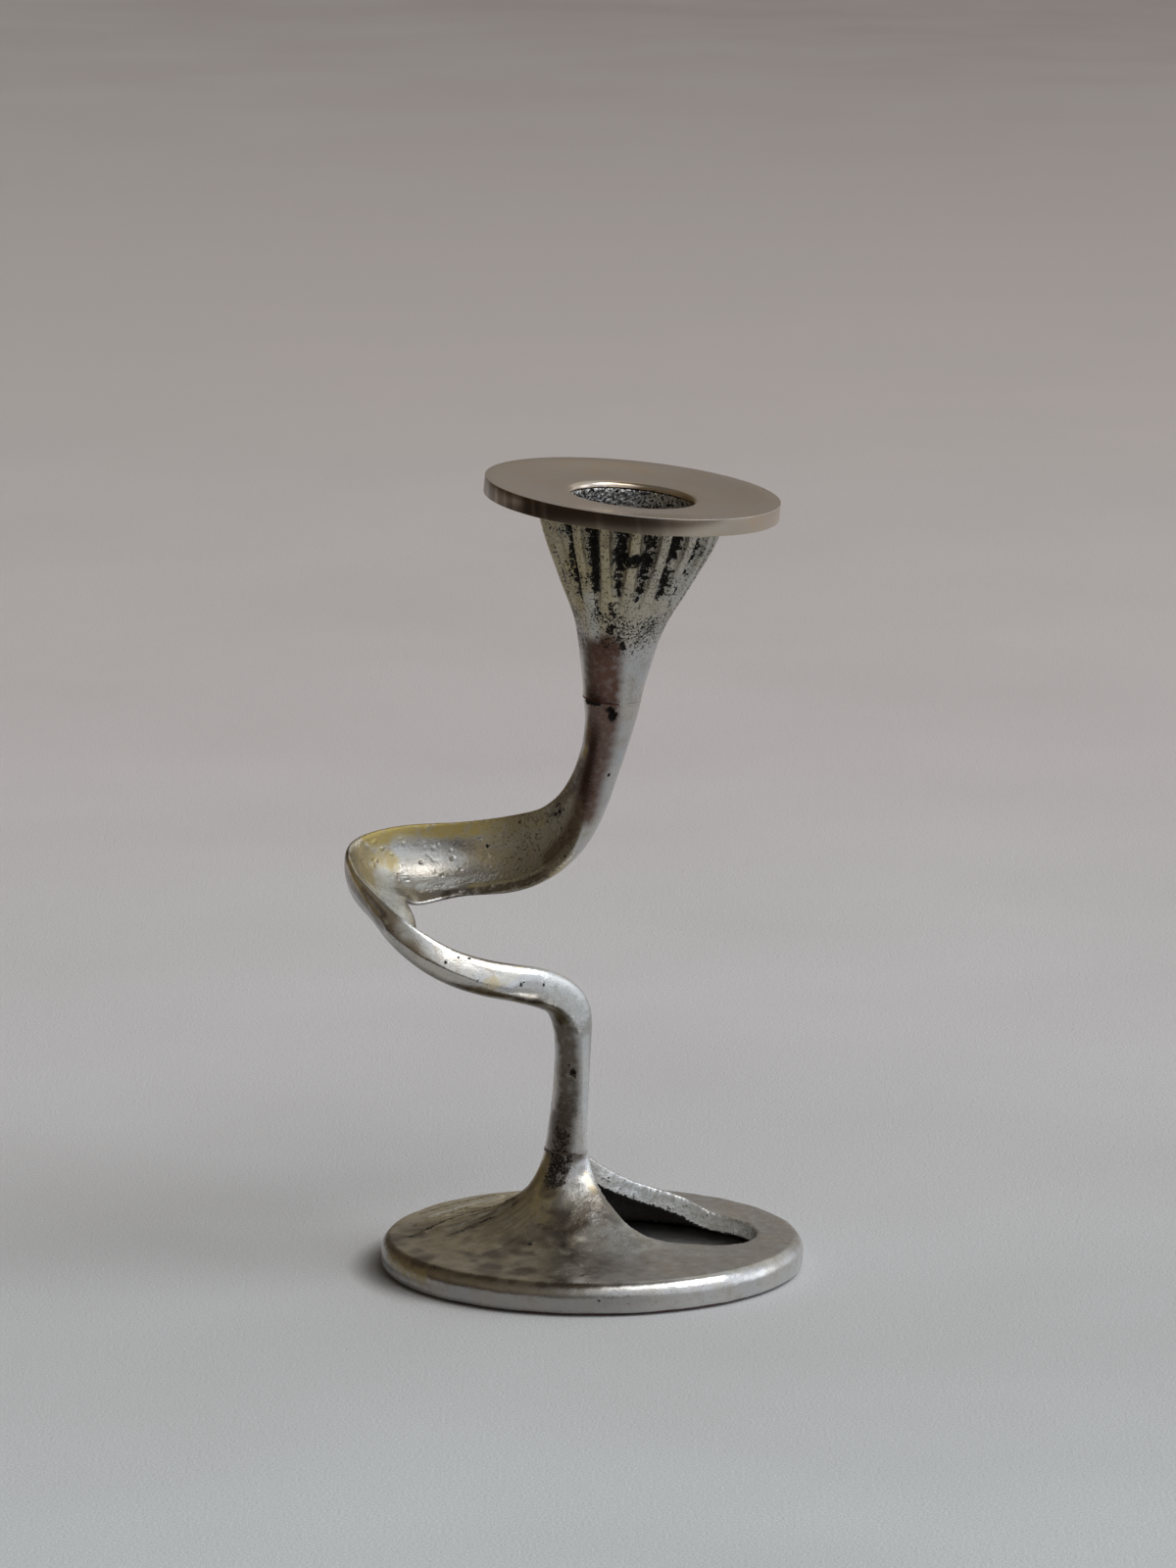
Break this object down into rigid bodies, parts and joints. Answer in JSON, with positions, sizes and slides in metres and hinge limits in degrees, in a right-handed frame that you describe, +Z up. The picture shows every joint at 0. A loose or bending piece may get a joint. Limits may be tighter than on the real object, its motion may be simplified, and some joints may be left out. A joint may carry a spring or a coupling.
{
  "type": "candle holder",
  "caption": "Cast metal taper candle holder: round foot with an open flare, a stem that turns once round in a trough, a fluted cup and a tilted drip pan.",
  "frame": {"origin": "centre of the foot's underside, on the table", "axes": "+Z up; -Y is the front seen in the picture; +X is to its right"},
  "size_m": [0.0847, 0.0782, 0.1482],
  "materials": {
    "cast_metal": "hand-polished casting with brown-grey toning and pits",
    "turned_metal": "satin turned disc",
    "solder": "dull solder",
    "pin_steel": "plain steel",
    "felt": "thin dark felt"
  },
  "bodies": {
    "root": {"foot_casting": "cast_metal", "felt_pad": "felt", "spiral_stem": "cast_metal", "foot_joint_pin": "pin_steel", "foot_joint_solder": "solder", "fluted_cup": "cast_metal", "neck_joint_pin": "pin_steel", "neck_joint_solder": "solder", "drip_pan": "turned_metal", "pan_solder_ring": "solder"}
  },
  "joints": []
}
